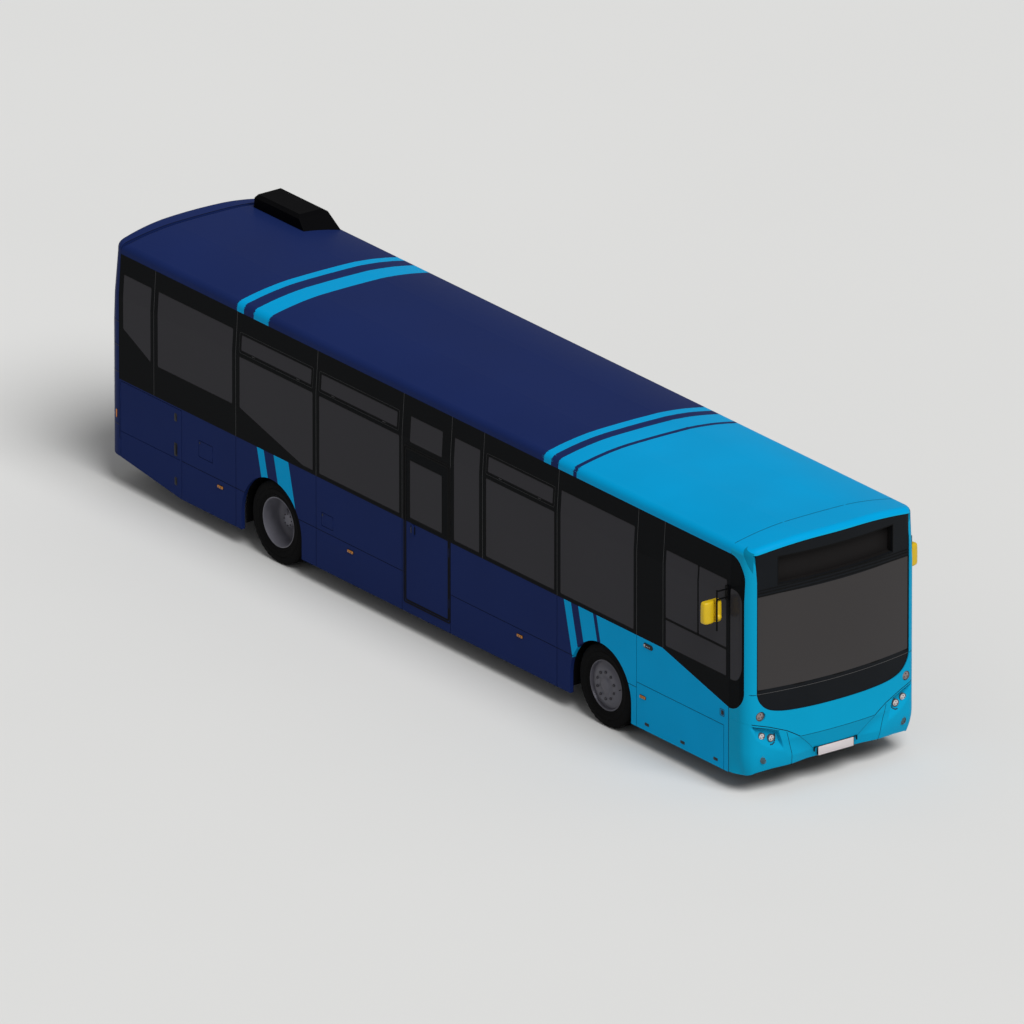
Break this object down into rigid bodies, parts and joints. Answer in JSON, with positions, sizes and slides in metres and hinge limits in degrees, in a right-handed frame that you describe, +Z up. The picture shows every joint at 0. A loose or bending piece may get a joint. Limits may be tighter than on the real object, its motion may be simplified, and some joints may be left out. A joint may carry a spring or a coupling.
{
  "type": "city bus",
  "caption": "Single-deck low-floor city bus with black glazing band, cyan front, steered front wheels, twin rear wheels, gliding entrance doors, emergency door and engine hatches.",
  "frame": {"origin": "on the ground, on the centre line, halfway along the bus", "axes": "+X forward along the bus, +Y to its left side, +Z up"},
  "size_m": [12.8737, 3.19, 3.342],
  "materials": {
    "body_paint": "gloss navy coat with cyan stripes",
    "front_paint": "gloss cyan coat",
    "band_black": "gloss black glazing band",
    "side_glass": "dark tinted safety glass",
    "screen_glass": "laminated windscreen",
    "black_plastic": "moulded black plastic",
    "display": "blank display panel",
    "tyre": "road tyre",
    "rim_steel": "silver grey coat",
    "lamp_lens": "clear lamp lens",
    "tail_lens": "red lamp lens",
    "frame_steel": "black chassis coat",
    "axle_iron": "black axle coat",
    "floor_cover": "hard-wearing floor cover",
    "seat_shell": "moulded seat with fabric inserts",
    "cab_plastic": "grained dashboard moulding",
    "rail_yellow": "yellow powder coat",
    "mirror_yellow": "yellow mirror housing",
    "rubber": "air bellows rubber"
  },
  "bodies": {
    "body": {"window_frame_right": "band_black", "window_frame_left": "band_black", "side_panels_right": "body_paint", "side_panels_left": "body_paint", "roof_shell": "body_paint", "roof_pod": "black_plastic", "window_glass": "side_glass", "front_mask": "front_paint", "windscreen_surround": "band_black", "windscreen": "screen_glass", "destination_sign": "display", "front_bumper": "front_paint", "front_lamps": "lamp_lens", "rear_mask": "body_paint", "rear_bumper": "body_paint", "rear_lamps": "tail_lens", "wheel_boxes": "black_plastic", "floor_deck": "floor_cover", "chassis_frame": "frame_steel", "engine_block": "axle_iron", "axles": "axle_iron", "suspension_units": "rubber", "underfloor_tanks": "frame_steel", "seats": "seat_shell", "driver_cab": "cab_plastic", "handrails": "rail_yellow", "mirror_arms": "black_plastic", "mirror_heads": "mirror_yellow"},
    "knuckle_right": {"knuckle_right": "axle_iron"},
    "front_wheel_right": {"front_tyre_right": "tyre", "front_rim_right": "rim_steel"},
    "rear_wheels_right": {"rear_tyres_right": "tyre", "rear_rims_right": "rim_steel"},
    "knuckle_left": {"knuckle_left": "axle_iron"},
    "front_wheel_left": {"front_tyre_left": "tyre", "front_rim_left": "rim_steel"},
    "rear_wheels_left": {"rear_tyres_left": "tyre", "rear_rims_left": "rim_steel"},
    "emergency_door": {"emergency_door": "body_paint", "emergency_door_glass": "side_glass"},
    "door_arm_front": {"door_arm_front": "frame_steel"},
    "door_leaf_front": {"door_leaf_front": "black_plastic", "door_glass_front": "side_glass"},
    "door_arm_rear": {"door_arm_rear": "frame_steel"},
    "door_leaf_rear": {"door_leaf_rear": "black_plastic", "door_glass_rear": "side_glass"},
    "engine_hatch": {"engine_hatch": "body_paint"},
    "engine_side_door": {"engine_side_door": "body_paint"},
    "fuel_flap": {"fuel_flap": "body_paint"},
    "service_flap": {"service_flap": "body_paint"}
  },
  "joints": [
    {"name": "steer_right", "type": "hinge", "parent": "body", "child": "knuckle_right", "pos_m": [3.485, -0.985, 0.52], "axis": [0, 0, 1], "range_deg": [-38, 38]},
    {"name": "roll_front_right", "type": "hinge", "parent": "knuckle_right", "child": "front_wheel_right", "pos_m": [3.485, -1.0675, 0.52], "axis": [0, 1, 0], "continuous": true},
    {"name": "roll_rear_right", "type": "hinge", "parent": "body", "child": "rear_wheels_right", "pos_m": [-2.965, -1.0675, 0.52], "axis": [0, 1, 0], "continuous": true},
    {"name": "steer_left", "type": "hinge", "parent": "body", "child": "knuckle_left", "pos_m": [3.485, 0.985, 0.52], "axis": [0, 0, 1], "range_deg": [-38, 38]},
    {"name": "roll_front_left", "type": "hinge", "parent": "knuckle_left", "child": "front_wheel_left", "pos_m": [3.485, 1.0675, 0.52], "axis": [0, 1, 0], "continuous": true},
    {"name": "roll_rear_left", "type": "hinge", "parent": "body", "child": "rear_wheels_left", "pos_m": [-2.965, 1.0675, 0.52], "axis": [0, 1, 0], "continuous": true},
    {"name": "emergency_door_hinge", "type": "hinge", "parent": "body", "child": "emergency_door", "pos_m": [0.486, -1.25, 1.3555], "axis": [0, 0, 1], "range_deg": [0, 90]},
    {"name": "door_arm_front_hinge", "type": "hinge", "parent": "body", "child": "door_arm_front", "pos_m": [5.819, 1.226, 2.365], "axis": [0, 0, 1], "range_deg": [0, 88]},
    {"name": "door_leaf_front_hinge", "type": "hinge", "parent": "door_arm_front", "child": "door_leaf_front", "pos_m": [5.5295, 1.226, 2.36], "axis": [0, 0, 1], "range_deg": [-176, 0]},
    {"name": "door_arm_rear_hinge", "type": "hinge", "parent": "body", "child": "door_arm_rear", "pos_m": [4.651, 1.226, 2.365], "axis": [0, 0, -1], "range_deg": [0, 88]},
    {"name": "door_leaf_rear_hinge", "type": "hinge", "parent": "door_arm_rear", "child": "door_leaf_rear", "pos_m": [4.9405, 1.226, 2.36], "axis": [0, 0, -1], "range_deg": [-176, 0]},
    {"name": "engine_hatch_hinge", "type": "hinge", "parent": "body", "child": "engine_hatch", "pos_m": [-6.435, 0, 1.564], "axis": [0, 1, 0], "range_deg": [0, 75]},
    {"name": "engine_side_door_hinge", "type": "hinge", "parent": "body", "child": "engine_side_door", "pos_m": [-6.039, -1.25, 0.8], "axis": [0, 0, -1], "range_deg": [0, 90]},
    {"name": "fuel_flap_hinge", "type": "hinge", "parent": "body", "child": "fuel_flap", "pos_m": [-1.806, -1.25, 0.88], "axis": [0, 0, 1], "range_deg": [0, 90]},
    {"name": "service_flap_hinge", "type": "hinge", "parent": "body", "child": "service_flap", "pos_m": [-4.2, -1.25, 1], "axis": [0, 0, 1], "range_deg": [0, 90]}
  ],
  "couplings": [
    {"joint": "steer_left", "follows": "steer_right", "ratio": 1},
    {"joint": "door_leaf_front_hinge", "follows": "door_arm_front_hinge", "ratio": -2},
    {"joint": "door_arm_rear_hinge", "follows": "door_arm_front_hinge", "ratio": 1},
    {"joint": "door_leaf_rear_hinge", "follows": "door_arm_front_hinge", "ratio": -2}
  ]
}
